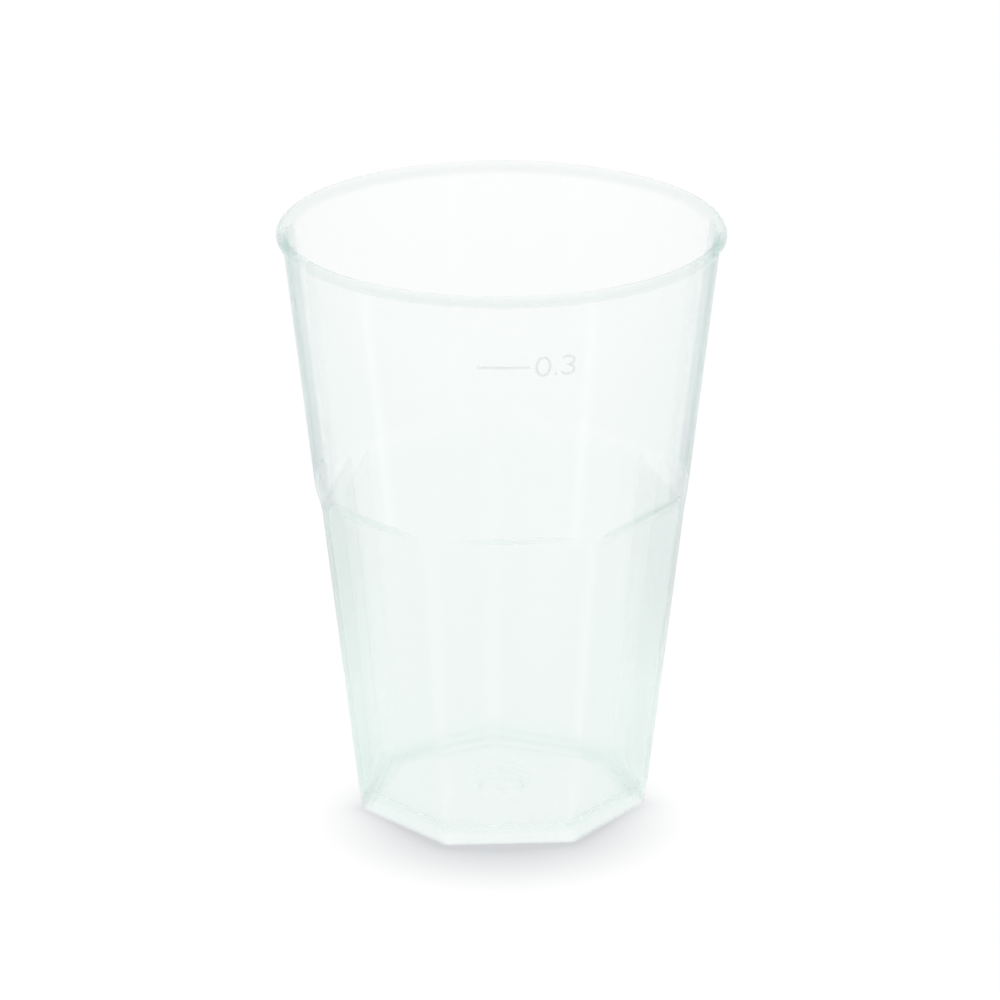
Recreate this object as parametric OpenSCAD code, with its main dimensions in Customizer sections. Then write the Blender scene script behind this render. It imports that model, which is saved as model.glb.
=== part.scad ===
// Clear plastic tumbler: a round conical cup with a beaded rim, whose lower half is
// pressed into flat facets that run out under arched tops.
// The cup is moulded in one piece with walls of even thickness.
// Origin: centre of the base on the surface it stands on. +Z up, front towards -Y.

/* [Cup] */
// Overall height
cup_h = 113; // [95:1:140]
// Outside diameter across the rim bead
rim_d = 83; // [76:1:96]
// Diameter of the base across its corners
base_d = 55; // [48:1:64]
// Thickness of the wall
wall_t = 1; // [0.8:0.1:1.8]

/* [Rim] */
// Height of the round bead along the rim
bead_h = 2.2; // [2:0.1:3.2]
// How far the bead stands out past the wall
bead_out = 1; // [0.7:0.1:1.2]

/* [Facets] */
// Number of facets round the cup
facet_n = 7; // [5:1:10]
// Height of the top of each facet's arch
facet_h = 63.6; // [45:0.2:80]
// Angle of the first facet from the front
facet_turn = 3.5; // [0:0.5:50]
// Radius in which a facet runs out under the round wall
arch_r = 3.8; // [2.6:0.1:5]
// Width of the plain ridge between two facets at the base
ridge_w = 1; // [0.6:0.1:2.4]

/* [Base] */
// Thickness of the floor
floor_t = 1.3; // [1:0.1:2.5]
// Height of the foot that lifts the floor off the table
foot_h = 1.3; // [0.8:0.1:2.5]
// Width of the foot
foot_w = 2; // [1.4:0.1:3.5]
// Radius of the corner inside, between the floor and the wall
floor_r = 3; // [1.5:0.1:4.5]
// Radius of the outside edge of the base
base_edge_r = 0.8; // [0.4:0.1:1.2]
// Diameter of the well under the middle of the floor, where the plastic was injected
gate_well_d = 8; // [5:0.5:12]
// Depth of the well
gate_well_h = 0.5; // [0.3:0.1:0.8]
// Diameter of the injection stub in the well
gate_stub_d = 1.6; // [1:0.1:2.5]

/* [Hidden] */
$fn = 96;

// Material past a face that a cut runs through
over = 2;
// How far an arc reaches past the faces it blends into, so that it meets them cleanly
blend = 0.01;
tint = [0.87, 0.96, 0.93, 0.55];

// The round wall: a cone that passes through the base's corners and meets the bead
bead_r = bead_h / 2;
bead_z = cup_h - bead_r;
wall_lean = atan((rim_d / 2 - bead_out - base_d / 2) / bead_z);
function wall_x(z) = base_d / 2 + z * tan(wall_lean);

// The facets: planes that leave a plain ridge of the cone between each two
ridge_half = asin(ridge_w / base_d);
facet_share = cos(180 / facet_n - ridge_half);
facet_lean = atan(facet_share * tan(wall_lean));
function facet_x(z) = facet_share * wall_x(z);

// The inside floor stands on the foot
floor_z = foot_h + floor_t;

// Centre line of the arc that ends a facet, the same for both faces of the wall
arch_z = facet_h - arch_r;
arch_x = facet_x(arch_z) + arch_r / cos(facet_lean);

// Section outside the rounded corner between a floor and a leaning wall. side_x is
// where the wall would be at the height of the corner's centre.
module corner_trim(side_x, floor_z, corner_r, lean) {
    centre = [side_x - corner_r / cos(lean), floor_z + corner_r];
    difference() {
        translate([centre.x, floor_z - over])
            square([rim_d / 2, over + corner_r * (1 - sin(lean))]);
        translate(centre)
            circle(corner_r + blend);
    }
}

// Half section of a plain round cup shape, inset from the outer face of the wall
module round_half_section(inset, bottom, top, corner_r) {
    shift = inset / cos(wall_lean);
    difference() {
        polygon([
            [0, bottom],
            [wall_x(bottom) - shift, bottom],
            [wall_x(top) - shift, top],
            [0, top]
        ]);
        corner_trim(wall_x(bottom + corner_r) - shift, bottom, corner_r, wall_lean);
    }
}

// Section of what lies outside one facet: x is the distance from the cup's axis and
// y the height. At the top it ends in the concave arc of the arch, and at the bottom
// in the rounded corner.
module facet_section(inset, bottom, corner_r) {
    shift = inset / cos(facet_lean);
    top_r = arch_r + inset;
    far_x = rim_d / 2 + over;
    low = bottom - over;
    polygon([
        [facet_x(low) - shift, low],
        [far_x, low],
        [far_x, arch_z + top_r],
        [arch_x, arch_z + top_r],
        [arch_x, arch_z],
        [arch_x - top_r * cos(facet_lean), arch_z + top_r * sin(facet_lean)]
    ]);
    translate([arch_x, arch_z])
        circle(top_r + blend);
    corner_trim(facet_x(bottom + corner_r) - shift, bottom, corner_r, facet_lean);
}

// What is taken off for facet i: no wider than the round wall at the top of the arch
module facet_cut(i, inset, bottom, corner_r) {
    width = 2 * wall_x(facet_h + inset) * sin(180 / facet_n);
    rotate([0, 0, facet_turn - 90 + i * 360 / facet_n])
        translate([0, width / 2, 0])
            rotate([90, 0, 0])
                linear_extrude(width)
                    facet_section(inset, bottom, corner_r);
}

// The shape given as child with facets i and up taken off, one after another
module faceted(inset, bottom, corner_r, i = 0) {
    if (i == facet_n)
        children();
    else
        difference() {
            faceted(inset, bottom, corner_r, i + 1)
                children();
            facet_cut(i, inset, bottom, corner_r);
        }
}

// Outer form of the cup, filled, with the bead along the rim
module outer_form() {
    faceted(0, 0, base_edge_r)
        rotate_extrude() {
            round_half_section(0, 0, bead_z, base_edge_r);
            translate([rim_d / 2 - bead_r, bead_z])
                circle(bead_r);
        }
}

// The inside, open at the top, less the boss over the gate well, whose wall is as
// thick as the floor
module cavity() {
    difference() {
        faceted(wall_t, floor_z, floor_r)
            rotate_extrude()
                round_half_section(wall_t, floor_z, cup_h + over, floor_r);
        translate([0, 0, floor_z - over])
            cylinder(h = over + gate_well_h, r = gate_well_d / 2 + floor_t);
    }
}

// The hollow under the floor, with as many sides as the cup
module foot_hollow() {
    rotate([0, 0, facet_turn - 90 + 180 / facet_n])
        translate([0, 0, -over])
            linear_extrude(over + foot_h)
                circle((facet_x(0) - foot_w) / cos(180 / facet_n), $fn = facet_n);
}

// The gate well, with the injection stub that stands short of its mouth
module gate_well() {
    difference() {
        translate([0, 0, foot_h - over])
            cylinder(h = over + gate_well_h, r = gate_well_d / 2);
        translate([0, 0, foot_h])
            cylinder(h = over, r = gate_stub_d / 2);
    }
}

module tumbler() {
    color(tint)
        difference() {
            outer_form();
            cavity();
            foot_hollow();
            gate_well();
        }
}

tumbler();
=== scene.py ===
"""A clear faceted plastic tumbler on a white floor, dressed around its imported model.

Everything is in metres, in the frame of the model: origin at the centre of the base, +Z up, front towards -Y.
"""

import logging
import math
from dataclasses import dataclass
from enum import Enum
from typing import Any, Iterable

import bmesh
import bpy
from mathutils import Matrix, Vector


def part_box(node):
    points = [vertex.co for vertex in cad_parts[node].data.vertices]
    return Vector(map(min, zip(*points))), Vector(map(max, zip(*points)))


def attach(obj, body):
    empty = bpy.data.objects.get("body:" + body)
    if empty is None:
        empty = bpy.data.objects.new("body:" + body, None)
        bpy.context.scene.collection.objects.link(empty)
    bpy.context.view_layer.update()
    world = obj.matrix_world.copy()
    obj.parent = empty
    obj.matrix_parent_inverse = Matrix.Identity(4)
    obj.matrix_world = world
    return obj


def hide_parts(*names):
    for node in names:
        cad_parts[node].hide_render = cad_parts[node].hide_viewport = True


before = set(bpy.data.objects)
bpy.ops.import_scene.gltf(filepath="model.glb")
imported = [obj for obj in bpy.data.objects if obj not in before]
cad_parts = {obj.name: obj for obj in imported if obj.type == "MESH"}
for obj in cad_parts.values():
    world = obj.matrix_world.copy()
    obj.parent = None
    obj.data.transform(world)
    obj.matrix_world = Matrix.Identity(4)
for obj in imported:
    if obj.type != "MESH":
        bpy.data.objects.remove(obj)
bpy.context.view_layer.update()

LOG = logging.getLogger("tumbler")

MM = 0.001
BODY = "root"
NODE = "tumbler"
NO_FACET = 1.0
FACET = "facet"
CLOSE_POINT = 0.3

Point = tuple[float, float]
Colour = tuple[float, float, float]


class Value:
    """A number in a node tree. Arithmetic on it adds the tree's Math nodes."""

    def __init__(self, graph: "Graph", socket: bpy.types.NodeSocket) -> None:
        """Wraps one output socket.

        Args:
            graph: The graph that the socket belongs to.
            socket: The output that carries the number.
        """
        self.graph = graph
        self.socket = socket

    def __add__(self, other: Any) -> "Value":
        """Returns self + other."""
        return self.graph.math("ADD", self, other)

    __radd__ = __add__

    def __sub__(self, other: Any) -> "Value":
        """Returns self - other."""
        return self.graph.math("SUBTRACT", self, other)

    def __rsub__(self, other: Any) -> "Value":
        """Returns other - self."""
        return self.graph.math("SUBTRACT", other, self)

    def __mul__(self, other: Any) -> "Value":
        """Returns self * other."""
        return self.graph.math("MULTIPLY", self, other)

    __rmul__ = __mul__

    def __truediv__(self, other: Any) -> "Value":
        """Returns self / other."""
        return self.graph.math("DIVIDE", self, other)

    def __rtruediv__(self, other: Any) -> "Value":
        """Returns other / self."""
        return self.graph.math("DIVIDE", other, self)

    def __mod__(self, other: Any) -> "Value":
        """Returns the remainder of self / other."""
        return self.graph.math("MODULO", self, other)


class Graph:
    """Adds nodes to a shader or geometry tree."""

    def __init__(self, tree: bpy.types.NodeTree) -> None:
        """Works on the tree given.

        Args:
            tree: The node tree to add to.
        """
        self.tree = tree

    def node(self, kind: str, settings: dict | None = None, sockets: dict | None = None) -> bpy.types.Node:
        """Adds a node of any type.

        Args:
            kind: The node's type name.
            settings: Its properties, set first. A colour ramp takes "stops", a list of (position, colour).
            sockets: Values or links, by the input's name or number.

        Returns:
            The new node.
        """
        node = self.tree.nodes.new(kind)
        for name, value in (settings or {}).items():
            if name == "stops":
                self._set_stops(node.color_ramp, value)
            else:
                setattr(node, name, value)
        for key, value in (sockets or {}).items():
            socket = value.socket if isinstance(value, Value) else value
            if isinstance(socket, bpy.types.NodeSocket):
                self.tree.links.new(socket, node.inputs[key])
            else:
                node.inputs[key].default_value = socket
        return node

    @staticmethod
    def _set_stops(ramp: bpy.types.ColorRamp, stops: list[tuple[float, tuple]]) -> None:
        """Gives a colour ramp its stops.

        Args:
            ramp: The ramp to fill.
            stops: Pairs of position and colour.
        """
        while len(ramp.elements) < len(stops):
            ramp.elements.new(1.0)
        for element, (position, colour) in zip(ramp.elements, stops):
            element.position = position
            element.color = colour

    def math(self, operation: str, *operands: Any) -> Value:
        """Adds a Math node.

        Args:
            operation: The Math node's operation.
            operands: Its inputs, in order.

        Returns:
            The result.
        """
        node = self.node("ShaderNodeMath", {"operation": operation}, dict(enumerate(operands)))
        return Value(self, node.outputs[0])

    def clamped(self, value: Value) -> Value:
        """Returns a number held between 0 and 1."""
        return self.out(self.node("ShaderNodeClamp", None, {"Value": value}))

    def ramp(self, factor: Value, stops: list[tuple[float, Colour]]) -> bpy.types.NodeSocket:
        """Adds a colour ramp.

        Args:
            factor: Place along the ramp, from 0 to 1.
            stops: Pairs of place and colour, in order.

        Returns:
            The colour.
        """
        settings = {"stops": [(place, (*colour, 1.0)) for place, colour in stops]}
        return self.node("ShaderNodeValToRGB", settings, {"Fac": factor}).outputs["Color"]

    def mixed(self, factor: Value, first: Any, second: Any) -> bpy.types.NodeSocket:
        """Mixes two colours.

        Args:
            factor: Share of the second one.
            first: Colour or link at 0.
            second: Colour or link at 1.

        Returns:
            The mixed colour.
        """
        node = self.node("ShaderNodeMix", {"data_type": "RGBA"}, {"Factor": factor, 6: first, 7: second})
        return node.outputs[2]

    def out(self, node: bpy.types.Node, name: str | int = 0) -> Value:
        """Wraps one of a node's outputs as a number."""
        return Value(self, node.outputs[name])


class Recipe:
    """A Geometry Nodes tree built in code, run once on a mesh to make another mesh."""

    def __init__(self, name: str, inputs: dict[str, str]) -> None:
        """Starts a tree with a geometry input and output.

        Args:
            name: The tree's name.
            inputs: Socket type by input name, after the geometry.
        """
        self.tree = bpy.data.node_groups.new(name, "GeometryNodeTree")
        interface = self.tree.interface
        interface.new_socket(name="Outline", in_out="INPUT", socket_type="NodeSocketGeometry")
        self.identifiers = {
            key: interface.new_socket(name=key, in_out="INPUT", socket_type=kind).identifier
            for key, kind in inputs.items()
        }
        interface.new_socket(name="Mesh", in_out="OUTPUT", socket_type="NodeSocketGeometry")
        self.graph = Graph(self.tree)
        self.source = self.graph.node("NodeGroupInput")

    def input(self, name: str) -> Value:
        """Returns one of the tree's named inputs."""
        return self.graph.out(self.source, name)

    def attribute(self, name: str) -> bpy.types.NodeSocket:
        """Returns a named number attribute of the outline."""
        node = self.graph.node("GeometryNodeInputNamedAttribute", {"data_type": "FLOAT"}, {"Name": name})
        return node.outputs["Attribute"]

    def moved(self, mesh: bpy.types.NodeSocket, x: Value, y: Value, z: Value) -> bpy.types.NodeSocket:
        """Puts every point of a mesh at x, y, z.

        Args:
            mesh: The mesh to move.
            x: Place along X, for each point.
            y: Place along Y, for each point.
            z: Place along Z, for each point.

        Returns:
            The moved mesh.
        """
        place = self.graph.node("ShaderNodeCombineXYZ", None, {"X": x, "Y": y, "Z": z})
        node = self.graph.node("GeometryNodeSetPosition", None, {"Geometry": mesh, "Position": place.outputs[0]})
        return node.outputs[0]

    def finish(self, mesh: bpy.types.NodeSocket, weld: float) -> None:
        """Closes the tree: welds, shades smooth, realizes instances and sets the material.

        Args:
            mesh: The mesh so far.
            weld: Points nearer than this become one, in metres.
        """
        graph = self.graph
        welded = graph.node("GeometryNodeMergeByDistance", None, {"Geometry": mesh, "Distance": weld})
        smooth = graph.node("GeometryNodeSetShadeSmooth", None, {"Geometry": welded.outputs[0]})
        real = graph.node("GeometryNodeRealizeInstances", None, {"Geometry": smooth.outputs[0]})
        dressed = graph.node(
            "GeometryNodeSetMaterial", None, {"Geometry": real.outputs[0], "Material": self.input("Finish")}
        )
        graph.node("NodeGroupOutput", None, {"Mesh": dressed.outputs[0]})

    def cook(self, name: str, outline: bpy.types.Mesh, values: dict[str, Any]) -> bpy.types.Object:
        """Runs the tree on an outline.

        Args:
            name: The new piece's name.
            outline: The mesh that the tree works on.
            values: The tree's inputs, by name.

        Returns:
            An object with a plain mesh, at the origin.
        """
        holder = bpy.data.objects.new(name + "_outline", outline)
        bpy.context.scene.collection.objects.link(holder)
        modifier = holder.modifiers.new("recipe", "NODES")
        modifier.node_group = self.tree
        for key, value in values.items():
            modifier[self.identifiers[key]] = value
        depsgraph = bpy.context.evaluated_depsgraph_get()
        mesh = bpy.data.meshes.new_from_object(holder.evaluated_get(depsgraph), depsgraph=depsgraph)
        mesh.name = name
        bpy.data.objects.remove(holder)
        bpy.data.node_groups.remove(self.tree)
        self._face_outwards(mesh)
        piece = bpy.data.objects.new(name, mesh)
        bpy.context.scene.collection.objects.link(piece)
        return piece

    @staticmethod
    def _face_outwards(mesh: bpy.types.Mesh) -> None:
        """Turns the faces of a closed mesh outwards.

        Args:
            mesh: The mesh to work on.
        """
        work = bmesh.new()
        work.from_mesh(mesh)
        bmesh.ops.recalc_face_normals(work, faces=work.faces)
        if work.calc_volume(signed=True) < 0:
            bmesh.ops.reverse_faces(work, faces=work.faces)
        work.to_mesh(mesh)
        work.free()


class Gloss(Enum):
    """How smooth a surface comes out of its tool."""

    POLISHED = 0.02
    SATIN = 0.35


@dataclass(frozen=True)
class ClearPlastic:
    """Clear moulded plastic: its tint deepens with the thickness that light passes through.

    The surface's colour is the plastic's tint with painted shade and painted light, by height, in metres above the
    base: a painted dark band along the rolled rim, the pressed facets painted a little darker than the round wall
    and darker still along the foot, the walls darker towards the bottom, and painted light that makes the floor
    inside the cup clearest. The ledge under each arch has less surface than the rest, so that the arch draws only a
    soft line.
    """

    name: str
    height: float
    gloss: Gloss = Gloss.POLISHED
    refraction: float = 1.06
    presence: float = 0.5
    varnish: float = 1.0
    tint: Colour = (0.57, 0.79, 0.70)
    depth: float = 49.0
    ledge_start: float = 61.0 * MM
    ledge_fade: float = 0.8 * MM
    ledge_presence: float = 0.15
    haze: float = 0.02
    haze_scale: float = 1260.0
    flow_scale: float = 90.0
    flow_height: float = 0.006 * MM
    # Painted light: the floor inside the cup, near the axis and low down, is painted clearer than the walls.
    floor_tint_and_painted_light: Colour = (0.99, 0.995, 0.993)
    painted_light_reach: float = 22.0 * MM
    floor_top: float = 5.0 * MM
    painted_light_fade: float = 1.0 * MM
    # The plastic's tint with painted shade: a painted dark band along the rolled rim, and the round wall darker
    # towards the bottom.
    round_tint_and_painted_shade: tuple[tuple[float, Colour], ...] = (
        (0.0 * MM, (0.945, 0.968, 0.960)),
        (60.0 * MM, (0.950, 0.970, 0.963)),
        (88.0 * MM, (0.955, 0.972, 0.966)),
        (106.0 * MM, (0.985, 0.980, 0.981)),
        (110.7 * MM, (0.985, 0.980, 0.981)),
        (110.9 * MM, (0.82, 0.85, 0.845)),
        (111.6 * MM, (0.83, 0.855, 0.85)),
        (112.4 * MM, (0.95, 0.96, 0.955)),
    )
    # The plastic's tint with painted shade: the pressed facets are painted a little darker than the round wall, and
    # darker still along the foot.
    facet_tint_and_painted_shade: tuple[tuple[float, Colour], ...] = (
        (0.0 * MM, (0.84, 0.925, 0.91)),
        (1.5 * MM, (0.85, 0.93, 0.915)),
        (3.5 * MM, (0.905, 0.950, 0.940)),
        (40.0 * MM, (0.910, 0.952, 0.942)),
        (64.0 * MM, (0.925, 0.960, 0.950)),
    )

    def _tones(self, graph: Graph, up: Value, tones: Iterable[tuple[float, Colour]]) -> bpy.types.NodeSocket:
        """The surface's tint and painted shade by height.

        Args:
            graph: The material's graph.
            up: Height in metres.
            tones: Pairs of height and colour, in order.

        Returns:
            The colour.
        """
        return graph.ramp(up / self.height, [(place / self.height, colour) for place, colour in tones])

    def _tint_painted_shade_and_light(self, graph: Graph, facet: Value, radius: Value, up: Value) -> bpy.types.NodeSocket:
        """The surface's colour on the round wall, the facets and the floor: the plastic's tint with painted shade,
        and painted light on the floor.

        Args:
            graph: The material's graph.
            facet: 1 on a facet and 0 on the round wall.
            radius: Distance from the cup's axis.
            up: Height in metres.

        Returns:
            The colour.
        """
        wall = graph.mixed(
            facet, self._tones(graph, up, self.round_tint_and_painted_shade), self._tones(graph, up, self.facet_tint_and_painted_shade)
        )
        # Painted light on the floor inside the cup, near the axis and below floor_top.
        inside = graph.clamped((self.painted_light_reach - radius) / self.painted_light_fade)
        low = graph.clamped((self.floor_top - up) / self.painted_light_fade)
        return graph.mixed(inside * low, wall, (*self.floor_tint_and_painted_light, 1.0))

    def material(self) -> bpy.types.Material:
        """Builds the material.

        Returns:
            A material with a clear surface and a tinted inside.
        """
        material = bpy.data.materials.new(self.name)
        material.use_nodes = True
        graph = Graph(material.node_tree)
        material.node_tree.nodes.clear()
        place = graph.node("ShaderNodeTexCoord").outputs["Object"]
        split = graph.node("ShaderNodeSeparateXYZ", None, {"Vector": place})
        across, deep, up = (graph.out(split, axis) for axis in "XYZ")
        radius = graph.math("SQRT", across * across + deep * deep)
        facet = graph.out(graph.node("ShaderNodeAttribute", {"attribute_name": FACET}), "Fac")
        ledge = facet * graph.clamped((up - self.ledge_start) / self.ledge_fade)
        flow = graph.node(
            "ShaderNodeTexNoise", None, {"Vector": place, "Scale": self.flow_scale, "Detail": 2.0, "Roughness": 0.4}
        )
        haze = graph.node("ShaderNodeTexNoise", None, {"Vector": place, "Scale": self.haze_scale, "Detail": 3.0})
        bump = graph.node(
            "ShaderNodeBump",
            None,
            {"Strength": 0.5, "Distance": self.flow_height, "Height": graph.out(flow, "Fac")},
        )
        surface = graph.node(
            "ShaderNodeBsdfPrincipled",
            None,
            {
                "Base Color": self._tint_painted_shade_and_light(graph, facet, radius, up),
                "Roughness": self.gloss.value + self.haze * graph.out(haze, "Fac"),
                "IOR": self.refraction,
                "Alpha": self.presence - (self.presence - self.ledge_presence) * ledge,
                "Transmission Weight": 1.0,
                "Coat Weight": self.varnish,
                "Normal": bump.outputs[0],
            },
        )
        inside = graph.node(
            "ShaderNodeVolumeAbsorption", None, {"Color": (*self.tint, 1.0), "Density": self.depth}
        )
        graph.node(
            "ShaderNodeOutputMaterial", None, {"Surface": surface.outputs[0], "Volume": inside.outputs[0]}
        )
        return material


@dataclass(frozen=True)
class MarkFinish:
    """Satin relief strokes on the clear wall, which scatter a little light."""

    name: str
    gloss: Gloss = Gloss.SATIN
    colour: Colour = (0.60, 0.66, 0.645)
    worn: Colour = (0.68, 0.73, 0.715)
    wear_scale: float = 1500.0
    wear_roughness: float = 0.1
    presence: float = 0.17

    def material(self) -> bpy.types.Material:
        """Builds the material.

        Returns:
            A satin, mostly clear material.
        """
        material = bpy.data.materials.new(self.name)
        material.use_nodes = True
        graph = Graph(material.node_tree)
        shader = material.node_tree.nodes["Principled BSDF"]
        place = graph.node("ShaderNodeTexCoord").outputs["Object"]
        noise = graph.node("ShaderNodeTexNoise", None, {"Vector": place, "Scale": self.wear_scale})
        wear = graph.out(noise, "Fac")
        tone = graph.mixed(wear, (*self.colour, 1.0), (*self.worn, 1.0))
        rough = self.gloss.value + self.wear_roughness * wear
        graph.tree.links.new(tone, shader.inputs["Base Color"])
        graph.tree.links.new(rough.socket, shader.inputs["Roughness"])
        shader.inputs["Alpha"].default_value = self.presence
        return material


@dataclass(frozen=True)
class WhiteFloor:
    """Matt white studio floor, with a soft painted shadow in front of the cup's base, painted into the floor's
    colour.

    The base's outline is that of the smaller of a circle and a polygon: corner_radius is the circle's radius and
    side_distance the distance of the polygon's sides from the middle.
    """

    corner_radius: float
    side_distance: float
    sides: int
    turn: float
    name: str = "studio_floor"
    colour: Colour = (0.93, 0.93, 0.93)
    # Painted shadow: the colour that the floor is painted to in front of the base.
    shade: Colour = (0.60, 0.615, 0.63)
    shade_ahead: float = 12.6 * MM
    shade_radius: float = 35.6 * MM
    shade_fade: float = 22.4 * MM
    shade_curve: float = 1.25
    # Strength of a darker painted contact shadow along the front of the base.
    painted_contact_shadow: float = 0.4
    contact_width: float = 1.8 * MM
    contact_front: float = 8.0 * MM
    under_width: float = 2.5 * MM
    under_curve: float = 3.0

    def material(self) -> bpy.types.Material:
        """Builds the material.

        Returns:
            A matt material.
        """
        material = bpy.data.materials.new(self.name)
        material.use_nodes = True
        graph = Graph(material.node_tree)
        shader = material.node_tree.nodes["Principled BSDF"]
        graph.tree.links.new(self._with_painted_shadow(graph), shader.inputs["Base Color"])
        shader.inputs["Roughness"].default_value = 1.0
        shader.inputs["Specular IOR Level"].default_value = 0.0
        return material

    def _with_painted_shadow(self, graph: Graph) -> bpy.types.NodeSocket:
        """The floor's colour, with a painted shadow round the front of the base.

        Args:
            graph: The material's graph.

        Returns:
            The colour.
        """
        place = graph.node("ShaderNodeTexCoord").outputs["Object"]
        split = graph.node("ShaderNodeSeparateXYZ", None, {"Vector": place})
        x, y = graph.out(split, "X"), graph.out(split, "Y")
        # Painted shadow: a soft patch darkens the floor in front of the base, with a darker painted contact shadow
        # at the base's edge, and fades out under the base.
        ahead = y + self.shade_ahead
        reach = graph.math("SQRT", x * x + ahead * ahead)
        fade = graph.math("POWER", graph.clamped((self.shade_radius - reach) / self.shade_fade), self.shade_curve)
        past = self._past_base(graph, x, y)
        near = graph.math("EXPONENT", -1.0 * past / self.contact_width)
        outside = graph.math("POWER", graph.clamped(past / self.under_width + 1.0), self.under_curve)
        front = graph.clamped(-1.0 * y / self.contact_front)
        share_of_shade = graph.clamped(outside * (fade + self.painted_contact_shadow * near * front))
        return graph.mixed(share_of_shade, (*self.colour, 1.0), (*self.shade, 1.0))

    def _past_base(self, graph: Graph, x: Value, y: Value) -> Value:
        """How far a place lies outside the base's outline.

        Args:
            graph: The material's graph.
            x: Place to the right.
            y: Place to the back.

        Returns:
            The distance, less than 0 under the base.
        """
        side_angle = 2 * math.pi / self.sides
        radius = graph.math("SQRT", x * x + y * y)
        side = (graph.math("ARCTAN2", x, -1.0 * y) - self.turn) / side_angle
        off_middle = (graph.math("FRACT", side + 0.5) - 0.5) * side_angle
        past_side = radius * graph.math("COSINE", off_middle) - self.side_distance
        return graph.math("MAXIMUM", past_side, radius - self.corner_radius)


@dataclass(frozen=True)
class Row:
    """One ring of the cup's surface: the smaller of a circle and a polygon, at one height."""

    round: float
    flat: float
    height: float


def arc(centre: Point, radius: Point, start: float, stop: float, steps: int) -> list[Point]:
    """Points along a stretch of an ellipse.

    Args:
        centre: The ellipse's centre.
        radius: Its half widths.
        start: First angle, in radians from +X.
        stop: Last angle.
        steps: Number of stretches.

    Returns:
        steps + 1 points.
    """
    angles = [start + (stop - start) * i / steps for i in range(steps + 1)]
    return [(centre[0] + radius[0] * math.cos(a), centre[1] + radius[1] * math.sin(a)) for a in angles]


def rounded(corners: list[tuple[float, float, float]], steps: int = 6) -> list[Point]:
    """An open outline whose corners are rounded, with a close point on both sides of each.

    Args:
        corners: (x, height, radius) in order. The ends keep their place.
        steps: Stretches along each rounding.

    Returns:
        The outline's points.
    """
    points = [corners[0][:2]]
    for before, corner, after in zip(corners, corners[1:], corners[2:]):
        place = Vector(corner[:2])
        back = (Vector(before[:2]) - place).normalized()
        ahead = (Vector(after[:2]) - place).normalized()
        half = back.angle(ahead) / 2
        reach = corner[2] / math.tan(half)
        centre = place + (back + ahead).normalized() * corner[2] / math.sin(half)
        first = place + back * reach
        last = place + ahead * reach
        turn = (first - centre).angle_signed(last - centre)
        points.append(tuple(first + back * reach * CLOSE_POINT))
        for i in range(steps + 1):
            spoke = (first - centre) * math.cos(-turn * i / steps)
            side = Vector((-(first - centre).y, (first - centre).x)) * math.sin(-turn * i / steps)
            points.append(tuple(centre + spoke + side))
        points.append(tuple(last + ahead * reach * CLOSE_POINT))
    points.append(corners[-1][:2])
    return points


def spread(start: float, stop: float, step: float) -> list[float]:
    """Evenly spaced numbers strictly between two ends.

    Args:
        start: One end.
        stop: The other end, on either side.
        step: Largest spacing.

    Returns:
        The numbers between, from start to stop.
    """
    count = max(1, math.ceil(abs(stop - start) / step))
    return [start + (stop - start) * i / count for i in range(1, count)]


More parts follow.
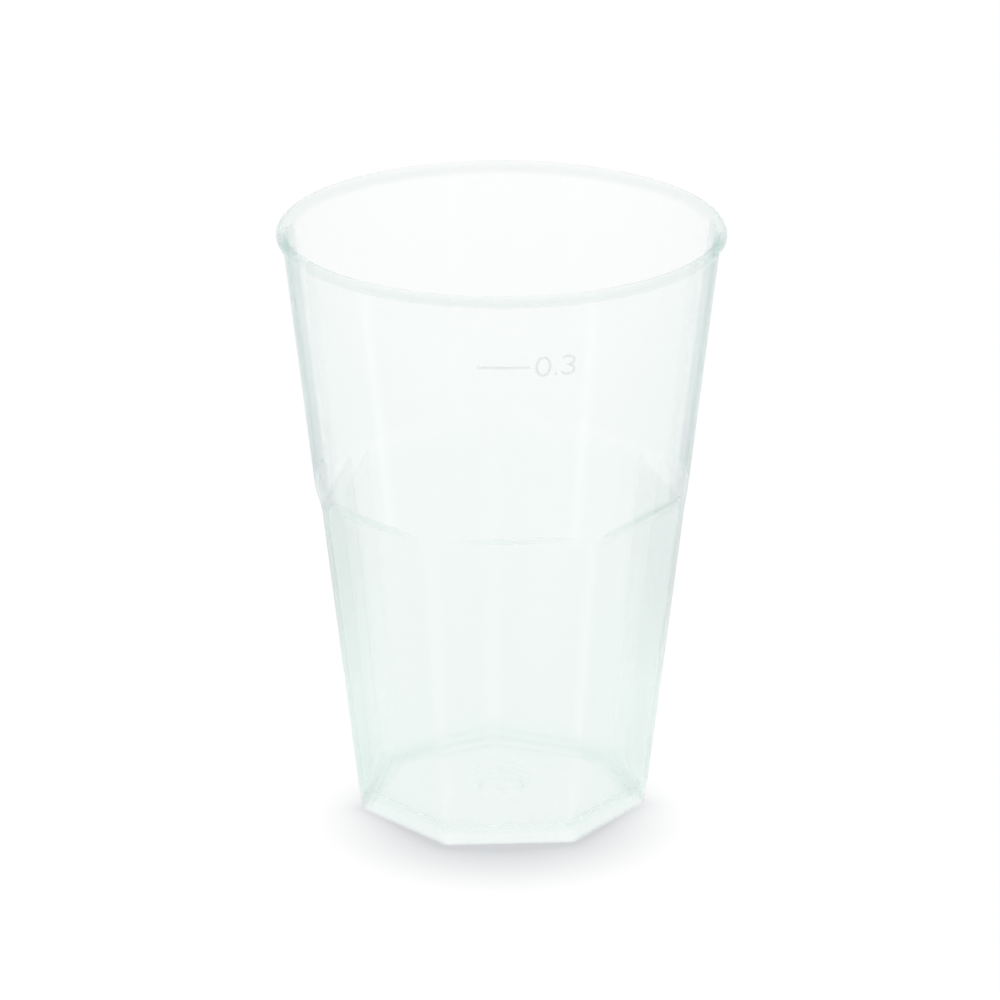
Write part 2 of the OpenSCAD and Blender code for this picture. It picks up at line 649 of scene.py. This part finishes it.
@dataclass
class Cup:
    """The moulded cup: round beaded rim, plain conical upper wall, and flat facets below."""

    height: float
    rim_radius: float
    finish: ClearPlastic
    base_radius: float = 27.5 * MM
    wall: float = 1.0 * MM
    bead_height: float = 2.2 * MM
    bead_reach: float = 1.0 * MM
    bead_fillet: float = 0.4 * MM
    facets: int = 7
    facet_top: float = 63.6 * MM
    facet_turn: float = math.radians(3.5)
    arch_radius: float = 3.8 * MM
    ridge_width: float = 1.0 * MM
    edge_softness: float = 0.6 * MM
    floor: float = 1.3 * MM
    foot_height: float = 1.3 * MM
    foot_width: float = 2.0 * MM
    floor_corner: float = 3.0 * MM
    base_edge: float = 0.8 * MM
    foot_edge: float = 0.3 * MM
    well_radius: float = 4.0 * MM
    well_depth: float = 0.5 * MM
    stub_radius: float = 0.8 * MM
    steps_per_facet: int = 48
    crowding: float = 0.6
    row_spacing: float = 2.0 * MM
    first_row: float = 0.1 * MM
    rows_below_arch: tuple[float, ...] = (0.6 * MM, 0.2 * MM)
    rows_above_arch: tuple[float, ...] = (0.15 * MM, 0.5 * MM)
    arch_rows: int = 20
    corner_steps: int = 10
    fillet_steps: int = 5
    fillet_rounds: int = 20
    bead_steps: int = 20
    weld: float = 0.001 * MM

    def __post_init__(self) -> None:
        """Works out the wall's lean and the facets' share of the round wall."""
        self.bead_radius = self.bead_height / 2
        self.bead_middle = self.height - self.bead_radius
        top_radius = self.rim_radius - self.bead_reach
        self.taper = (top_radius - self.base_radius) / self.bead_middle
        ridge_half = math.asin(self.ridge_width / 2 / self.base_radius)
        self.share = math.cos(math.pi / self.facets - ridge_half)
        self.lean = math.atan(self.taper)
        self.facet_lean = math.atan(self.taper * self.share)
        self.floor_top = self.foot_height + self.floor
        self.arch_height = self.facet_top - self.arch_radius
        self.arch_x = self.facet_x(self.arch_height) + self.arch_radius / math.cos(self.facet_lean)

    def wall_x(self, height: float) -> float:
        """Returns the radius of the round wall's outer face at a height."""
        return self.base_radius + height * self.taper

    def facet_x(self, height: float) -> float:
        """Returns the distance of a facet's outer face from the cup's axis at a height."""
        return self.share * self.wall_x(height)

    def _row(self, height: float, inset: float) -> Row:
        """A ring of the wall.

        Args:
            height: The ring's height.
            inset: How deep it lies under the outer face.

        Returns:
            The ring.
        """
        side = self.wall_x(height) - inset / math.cos(self.lean)
        reach = self.arch_radius + inset
        above = height - self.arch_height
        if above <= reach * math.sin(self.facet_lean):
            flat = self.facet_x(height) - inset / math.cos(self.facet_lean)
        elif above < reach:
            flat = self.arch_x - math.sqrt(reach**2 - above**2)
        else:
            flat = NO_FACET
        return Row(side, flat, height)

    def _wall_rows(self, low: float, high: float, inset: float) -> list[Row]:
        """Rings of one face of the wall, from low to high, crowded round the tops of the facets.

        Args:
            low: Height of the first ring.
            high: Height of the last ring.
            inset: 0 for the outer face, or the wall's thickness for the inner one.

        Returns:
            The rings, going up.
        """
        reach = self.arch_radius + inset
        start = self.arch_height + reach * math.sin(self.facet_lean)
        stop = self.arch_height + reach
        first = low + self.first_row
        below = [start - step for step in self.rows_below_arch]
        above = [stop + step for step in self.rows_above_arch]
        heights = [low, first, *spread(first, below[0], self.row_spacing), *below]
        for i in range(self.arch_rows):
            angle = self.facet_lean + (math.pi / 2 - self.facet_lean) * i / self.arch_rows
            heights.append(self.arch_height + reach * math.sin(angle))
        heights += [stop, *above, *spread(above[-1], high, self.row_spacing), high]
        return [self._row(height, inset) for height in heights]

    def _polygon_rows(self, points: Iterable[Point]) -> list[Row]:
        """Rings with as many sides as the cup, whose sides lie at the points' x."""
        return [Row(x * self.wall_x(z) / self.facet_x(z), x, z) for x, z in points]

    @staticmethod
    def _circle_rows(points: Iterable[Point]) -> list[Row]:
        """Plain circles through the points."""
        return [Row(x, NO_FACET, z) for x, z in points]

    def _corner_rows(self, bottom: float, radius: float, inset: float) -> list[Row]:
        """Rings round the corner between a floor and the wall, from the floor up.

        Args:
            bottom: Height of the floor.
            radius: The corner's radius.
            inset: How deep the corner lies under the outer face.

        Returns:
            The rings, going outwards and up.
        """
        middle = bottom + radius
        round_x = self.wall_x(middle) - (inset + radius) / math.cos(self.lean)
        flat_x = self.facet_x(middle) - (inset + radius) / math.cos(self.facet_lean)
        bend = arc((0.0, middle), (radius, radius), -math.pi / 2, -self.lean, self.corner_steps)
        lead = [(-radius * 0.1, bottom)]
        return [Row(round_x + x, flat_x + x, z) for x, z in lead + bend]

    def _underside(self) -> list[Row]:
        """Rings from the middle of the underside out to the foot's outer edge.

        Returns:
            Circles round the well, and rings with the cup's sides from there on.
        """
        ceiling = self.foot_height + self.well_depth
        low = self.foot_height
        edge = self.foot_edge / 2
        circles_end = self.well_radius * 1.4
        sides_start = self.well_radius * 2
        well = rounded(
            [
                (0.0, low, 0.0),
                (self.stub_radius, low, edge),
                (self.stub_radius, ceiling, edge),
                (self.well_radius, ceiling, edge),
                (self.well_radius, low, edge),
                (circles_end, low, 0.0),
            ]
        )
        inner = self.facet_x(0.0) - self.foot_width
        foot = rounded(
            [
                (sides_start, low, 0.0),
                (inner, low, self.foot_edge),
                (inner, 0.0, self.foot_edge),
                (inner + self.foot_width / 2, 0.0, 0.0),
            ]
        )
        return self._circle_rows(well) + self._polygon_rows(foot)

    def _bead(self) -> list[Row]:
        """Rings round the rim bead, from the outer face of the wall to the inner one.

        The fillet under the bead touches both the wall and the bead. Its height is found in a few rounds, because
        the wall's radius depends on it.

        Returns:
            The rings in order.
        """
        middle = (self.rim_radius - self.bead_radius, self.bead_middle)
        fillet = self.bead_fillet
        low = self.bead_middle - self.bead_radius
        for _ in range(self.fillet_rounds):
            x = self.wall_x(low) + fillet / math.cos(self.lean)
            low = middle[1] - math.sqrt((self.bead_radius + fillet) ** 2 - (x - middle[0]) ** 2)
        toward_wall = math.pi - self.lean
        toward_bead = math.atan2(middle[1] - low, middle[0] - x)
        start = toward_bead - math.pi
        under = arc((x, low), (fillet, fillet), toward_wall, toward_bead, self.fillet_steps)
        outer = arc(middle, (self.bead_radius, self.bead_radius), start, math.pi / 2, self.bead_steps)
        inner_x = self.wall_x(middle[1]) - self.wall / math.cos(self.lean)
        half_width = middle[0] - inner_x
        lip = arc(middle, (half_width, self.bead_radius), math.pi / 2, math.pi - self.lean, self.corner_steps)
        return self._circle_rows(under[:-1] + outer + lip[1:])

    def rows(self) -> list[Row]:
        """The whole outline, from the middle of the underside over the rim to the middle of the floor.

        Returns:
            The rings in order.
        """
        bead = self._bead()
        foot = self._corner_rows(0.0, self.base_edge, 0.0)
        corner = self._corner_rows(self.floor_top, self.floor_corner, self.wall)
        outside = self._wall_rows(foot[-1].height, bead[0].height, 0.0)
        inside = self._wall_rows(corner[-1].height, bead[-1].height, self.wall)
        boss = self.well_radius + self.floor
        boss_edge = self.foot_edge * 0.7
        circles_end = boss * 1.4
        sides_end = boss * 1.8
        top = self.floor_top + self.well_depth
        middle = rounded(
            [
                (circles_end, self.floor_top, 0.0),
                (boss, self.floor_top, self.foot_edge),
                (boss, top, boss_edge),
                (0.0, top, 0.0),
            ]
        )
        return (
            self._underside()
            + foot
            + outside[1:-1]
            + bead
            + inside[-2:0:-1]
            + corner[::-1]
            + self._polygon_rows([(sides_end, self.floor_top)])
            + self._circle_rows(middle)
        )

    def _outline(self) -> bpy.types.Mesh:
        """The outline as a mesh of points.

        Returns:
            One point for each ring, with the ring's numbers as attributes.
        """
        rows = self.rows()
        mesh = bpy.data.meshes.new("cup_rows")
        mesh.from_pydata([(row.round, 0.0, row.height) for row in rows], [], [])
        for name in ("round", "flat", "height"):
            layer = mesh.attributes.new(name, "FLOAT", "POINT")
            layer.data.foreach_set("value", [getattr(row, name) for row in rows])
        return mesh

    def _recipe(self) -> Recipe:
        """The rule of the cup's surface, as a tree.

        Returns:
            A recipe that takes the rings and makes the closed surface.
        """
        recipe = Recipe(
            "faceted_cup",
            {
                "Facets": "NodeSocketInt",
                "Steps per Facet": "NodeSocketInt",
                "Turn": "NodeSocketFloat",
                "Crowding": "NodeSocketFloat",
                "Edge Softness": "NodeSocketFloat",
                "Finish": "NodeSocketMaterial",
            },
        )
        graph = recipe.graph
        facets, steps = recipe.input("Facets"), recipe.input("Steps per Facet")
        outline = recipe.source.outputs["Outline"]
        size = graph.node("GeometryNodeAttributeDomainSize", {"component": "MESH"}, {"Geometry": outline})
        rows = graph.out(size, "Point Count")
        grid = graph.node(
            "GeometryNodeMeshGrid", None, {"Vertices X": facets * steps + 1, "Vertices Y": rows}
        )
        index = graph.out(graph.node("GeometryNodeInputIndex"))
        row = index % rows

        def sampled(name: str) -> Value:
            """Reads a number of the ring that each point of the grid stands for.

            Args:
                name: The number's attribute.

            Returns:
                The number.
            """
            node = graph.node(
                "GeometryNodeSampleIndex",
                {"data_type": "FLOAT", "domain": "POINT"},
                {"Geometry": outline, "Value": recipe.attribute(name), "Index": row},
            )
            return graph.out(node, "Value")

        turn = 2 * math.pi
        place = graph.math("FLOOR", index / rows) / steps
        shift = recipe.input("Crowding") * graph.math("SINE", place * turn) / turn
        crowded = place + shift
        off_centre = graph.math("FRACT", place + 0.5) - 0.5 + shift
        side = sampled("flat") / graph.math("COSINE", off_centre * turn / facets)
        round_side = sampled("round")
        radius = graph.math("SMOOTH_MIN", round_side, side, recipe.input("Edge Softness"))
        angle = crowded * turn / facets + recipe.input("Turn")
        pressed = graph.clamped((round_side - side) / recipe.input("Edge Softness"))
        marked = graph.node(
            "GeometryNodeStoreNamedAttribute",
            {"data_type": "FLOAT", "domain": "POINT"},
            {"Geometry": grid.outputs["Mesh"], "Name": FACET, "Value": pressed},
        )
        moved = recipe.moved(
            marked.outputs[0],
            radius * graph.math("SINE", angle),
            -1.0 * radius * graph.math("COSINE", angle),
            sampled("height"),
        )
        recipe.finish(moved, self.weld)
        return recipe

    def build(self) -> bpy.types.Object:
        """Makes the cup and puts it in place of its node.

        Returns:
            The cup.
        """
        piece = self._recipe().cook(
            "tumbler_cup",
            self._outline(),
            {
                "Facets": self.facets,
                "Steps per Facet": self.steps_per_facet,
                "Turn": self.facet_turn,
                "Crowding": self.crowding,
                "Edge Softness": self.edge_softness,
                "Finish": self.finish.material(),
            },
        )
        # The cup casts no shadow and sends no light to the floor; its shade on the floor is a painted shadow in the
        # floor's colour.
        piece.visible_diffuse = False
        piece.visible_shadow = False
        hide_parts(NODE)
        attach(piece, BODY)
        return piece


@dataclass
class MeasureMark:
    """The measuring line on the front of the wall, with its plain number, as fine raised strokes."""

    cup: Cup
    finish: MarkFinish
    height: float = 99.0 * MM
    line_start: float = -4.4 * MM
    line_end: float = 5.1 * MM
    number_start: float = 6.3 * MM
    digit_width: float = 2.5 * MM
    digit_height: float = 3.6 * MM
    digit_gap: float = 1.1 * MM
    dot_reach: float = 0.2 * MM
    hook: float = math.radians(150.0)
    loop_steps: int = 24
    stroke: float = 0.5 * MM
    stroke_sides: int = 12
    proud: float = 0.14 * MM

    def _on_wall(self, along: float, up: float) -> tuple[float, float, float]:
        """The place of a point of the strokes.

        Args:
            along: Distance round the wall from the front.
            up: Height above the line.

        Returns:
            The place, so far under the wall's face that the strokes stand proud by the right amount.
        """
        height = self.height + up
        depth = (self.stroke / 2 - self.proud) / math.cos(self.cup.lean)
        radius = self.cup.wall_x(height) - depth
        angle = along / self.cup.wall_x(self.height)
        return (radius * math.sin(angle), -radius * math.cos(angle), height)

    def _strokes(self) -> list[list[Point]]:
        """The strokes' middles, as distances round the wall and above the line.

        Returns:
            The points of each stroke. One that ends where it starts is a loop.
        """
        wide, tall, start = self.digit_width / 2, self.digit_height / 2, self.number_start
        stops = [self.line_start, *spread(self.line_start, self.line_end, MM), self.line_end]
        line = [(along, 0.0) for along in stops]
        zero = arc((start + wide, 0.0), (wide, tall), 0.0, 2 * math.pi, self.loop_steps)
        dot_x = start + 2 * wide + self.digit_gap
        dot_y = self.stroke / 2 - tall
        dot = [(dot_x - self.dot_reach, dot_y), (dot_x + self.dot_reach, dot_y)]
        middle = dot_x + self.digit_gap + wide * 0.9
        bowl = (wide * 0.92, tall / 2)
        half_loop = self.loop_steps // 2
        upper = arc((middle, tall / 2), bowl, self.hook, -math.pi / 2, half_loop)
        lower = arc((middle, -tall / 2), (wide, tall / 2), math.pi / 2, -self.hook, half_loop)
        return [line, zero, dot, upper + lower[1:]]

    def _outline(self) -> bpy.types.Mesh:
        """The strokes' middles on the wall.

        Returns:
            A mesh of edges.
        """
        places: list[tuple[float, float, float]] = []
        edges: list[tuple[int, int]] = []
        for stroke in self._strokes():
            closed = math.dist(stroke[0], stroke[-1]) < self.cup.weld
            points = stroke[:-1] if closed else stroke
            first = len(places)
            places += [self._on_wall(along, up) for along, up in points]
            edges += [(first + i, first + i + 1) for i in range(len(points) - 1)]
            if closed:
                edges.append((len(places) - 1, first))
        mesh = bpy.data.meshes.new("mark_strokes")
        mesh.from_pydata(places, edges, [])
        return mesh

    def build(self) -> bpy.types.Object:
        """Makes the strokes.

        Returns:
            One piece with all of them.
        """
        recipe = Recipe(
            "raised_strokes",
            {"Stroke": "NodeSocketFloat", "Sides": "NodeSocketInt", "Finish": "NodeSocketMaterial"},
        )
        graph = recipe.graph
        paths = graph.node("GeometryNodeMeshToCurve", None, {"Mesh": recipe.source.outputs["Outline"]})
        ring = graph.node(
            "GeometryNodeCurvePrimitiveCircle",
            None,
            {"Resolution": recipe.input("Sides"), "Radius": recipe.input("Stroke") / 2},
        )
        tubes = graph.node(
            "GeometryNodeCurveToMesh",
            None,
            {"Curve": paths.outputs[0], "Profile Curve": ring.outputs[0], "Fill Caps": True},
        )
        recipe.finish(tubes.outputs[0], self.cup.weld)
        piece = recipe.cook(
            "measuring_mark",
            self._outline(),
            {"Stroke": self.stroke, "Sides": self.stroke_sides, "Finish": self.finish.material()},
        )
        piece.visible_diffuse = False
        piece.visible_shadow = False
        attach(piece, BODY)
        return piece


@dataclass
class Studio:
    """White floor, even soft light, the card round the cup and the camera.

    Only the cup's gloss sees the card. It is white in front, with two upright slots of light that draw the fine
    highlights, and its sides and back are dark and draw the grey lines along the cup's outline.
    """

    floor_finish: WhiteFloor
    focal_pixels: float = 6447.2
    image_pixels: float = 1000.0
    distance: float = 1128.6 * MM
    camera_height: float = 480.3 * MM
    aim_height: float = 59.3 * MM
    aim_side: float = -0.3 * MM
    floor_size: float = 8.0
    sky: float = 1.085
    card_tone: Colour = (0.96, 0.96, 0.96)
    dark_tones: tuple[tuple[float, Colour], ...] = (
        (0.0 * MM, (0.96, 0.96, 0.96)),
        (25.0 * MM, (0.46, 0.44, 0.50)),
        (35.0 * MM, (0.50, 0.48, 0.54)),
        (62.0 * MM, (0.80, 0.785, 0.845)),
    )
    dark_start: float = math.radians(88.0)
    dark_end: float = math.radians(104.0)
    card_radius: float = 60.0 * MM
    card_height: float = 170.0 * MM
    card_gap: float = 1.0 * MM
    card_sides: int = 64
    windows: tuple[float, ...] = (math.radians(-54.0), math.radians(34.0))
    window_width: float = math.radians(2.4)
    window_light: float = 0.9
    bounces: int = 1024
    clear_bounces: int = 256
    matt_bounces: int = 8

    def build(self) -> None:
        """Makes the floor, the light and the camera."""
        self._floor()
        self._card()
        self._sky()
        self._camera()

    def _floor(self) -> None:
        """Lays the white floor."""
        half = self.floor_size / 2
        mesh = bpy.data.meshes.new("floor")
        corners = [(-half, -half, 0.0), (half, -half, 0.0), (half, half, 0.0), (-half, half, 0.0)]
        mesh.from_pydata(corners, [], [(0, 1, 2, 3)])
        mesh.materials.append(self.floor_finish.material())
        floor = bpy.data.objects.new("floor", mesh)
        bpy.context.scene.collection.objects.link(floor)

    def _card(self) -> None:
        """Stands a ring of card round the cup, which only the cup's gloss sees."""
        radius, height = self.card_radius, self.card_height
        work = bmesh.new()
        bmesh.ops.create_cone(work, segments=self.card_sides, radius1=radius, radius2=radius, depth=height)
        bmesh.ops.translate(work, verts=work.verts, vec=(0.0, 0.0, height / 2 + self.card_gap))
        mesh = bpy.data.meshes.new("dark_surround")
        work.to_mesh(mesh)
        work.free()
        mesh.materials.append(self._card_finish())
        ring = bpy.data.objects.new("dark_surround", mesh)
        ring.visible_camera = False
        ring.visible_diffuse = False
        ring.visible_transmission = False
        ring.visible_shadow = False
        bpy.context.scene.collection.objects.link(ring)

    def _card_finish(self) -> bpy.types.Material:
        """The card's tones and its slots of light.

        Returns:
            A matt material.
        """
        material = bpy.data.materials.new("dark_card")
        material.use_nodes = True
        material.cycles.emission_sampling = "NONE"
        graph = Graph(material.node_tree)
        shader = material.node_tree.nodes["Principled BSDF"]
        place = graph.node("ShaderNodeTexCoord").outputs["Object"]
        split = graph.node("ShaderNodeSeparateXYZ", None, {"Vector": place})
        stops = [(level / self.card_height, tone) for level, tone in self.dark_tones]
        dark = graph.ramp(graph.out(split, "Z") / self.card_height, stops)
        direction = graph.math("ARCTAN2", graph.out(split, "X"), -1.0 * graph.out(split, "Y"))
        past = graph.math("ABSOLUTE", direction) - self.dark_start
        behind = graph.clamped(past / (self.dark_end - self.dark_start))
        graph.tree.links.new(graph.mixed(behind, (*self.card_tone, 1.0), dark), shader.inputs["Base Color"])
        glow = 0.0
        for window in self.windows:
            off = (direction - window) / self.window_width
            glow = glow + graph.math("EXPONENT", -1.0 * off * off)
        light = graph.mixed(graph.clamped(glow), (0.0, 0.0, 0.0, 1.0), (1.0, 1.0, 1.0, 1.0))
        graph.tree.links.new(light, shader.inputs["Emission Color"])
        shader.inputs["Emission Strength"].default_value = self.window_light
        shader.inputs["Roughness"].default_value = 1.0
        return material

    def _sky(self) -> None:
        """Sets the even light from all round."""
        world = bpy.data.worlds.new("studio")
        world.use_nodes = True
        background = world.node_tree.nodes["Background"]
        background.inputs["Color"].default_value = (1.0, 1.0, 1.0, 1.0)
        background.inputs["Strength"].default_value = self.sky
        bpy.context.scene.world = world

    def _camera(self) -> None:
        """Places the camera as the photograph has it."""
        data = bpy.data.cameras.new("camera")
        data.sensor_width = 36.0
        data.lens = self.focal_pixels / self.image_pixels * data.sensor_width
        camera = bpy.data.objects.new("camera", data)
        camera.location = (self.aim_side, -self.distance, self.camera_height)
        aim = Vector((self.aim_side, 0.0, self.aim_height))
        camera.rotation_mode = "QUATERNION"
        camera.rotation_quaternion = (aim - camera.location).to_track_quat("-Z", "Y")
        bpy.context.scene.collection.objects.link(camera)
        bpy.context.scene.camera = camera

    def grade(self) -> None:
        """Shows the light without a film curve, and lets it run along inside the clear walls."""
        scene = bpy.context.scene
        scene.view_settings.view_transform = "Standard"
        scene.view_settings.look = "None"
        scene.cycles.use_denoising = True
        scene.cycles.blur_glossy = 0.0
        scene.cycles.max_bounces = self.bounces
        scene.cycles.glossy_bounces = self.bounces
        scene.cycles.transmission_bounces = self.bounces
        scene.cycles.transparent_max_bounces = self.clear_bounces
        scene.cycles.diffuse_bounces = self.matt_bounces


def main() -> None:
    """Builds the tumbler and the studio, and reports each piece."""
    logging.basicConfig(level=logging.INFO, format="%(message)s")
    low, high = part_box(NODE)
    cup = Cup(high.z, high.x, ClearPlastic("clear_plastic", high.z))
    mark = MeasureMark(cup, MarkFinish("mark_relief"))
    studio = Studio(WhiteFloor(cup.base_radius, cup.facet_x(0.0), cup.facets, cup.facet_turn))
    studio.build()
    studio.grade()
    for piece in (cup.build(), mark.build()):
        piece.data.calc_loop_triangles()
        LOG.info("%s: %d triangles", piece.name, len(piece.data.loop_triangles))


if __name__ == "__main__":
    main()
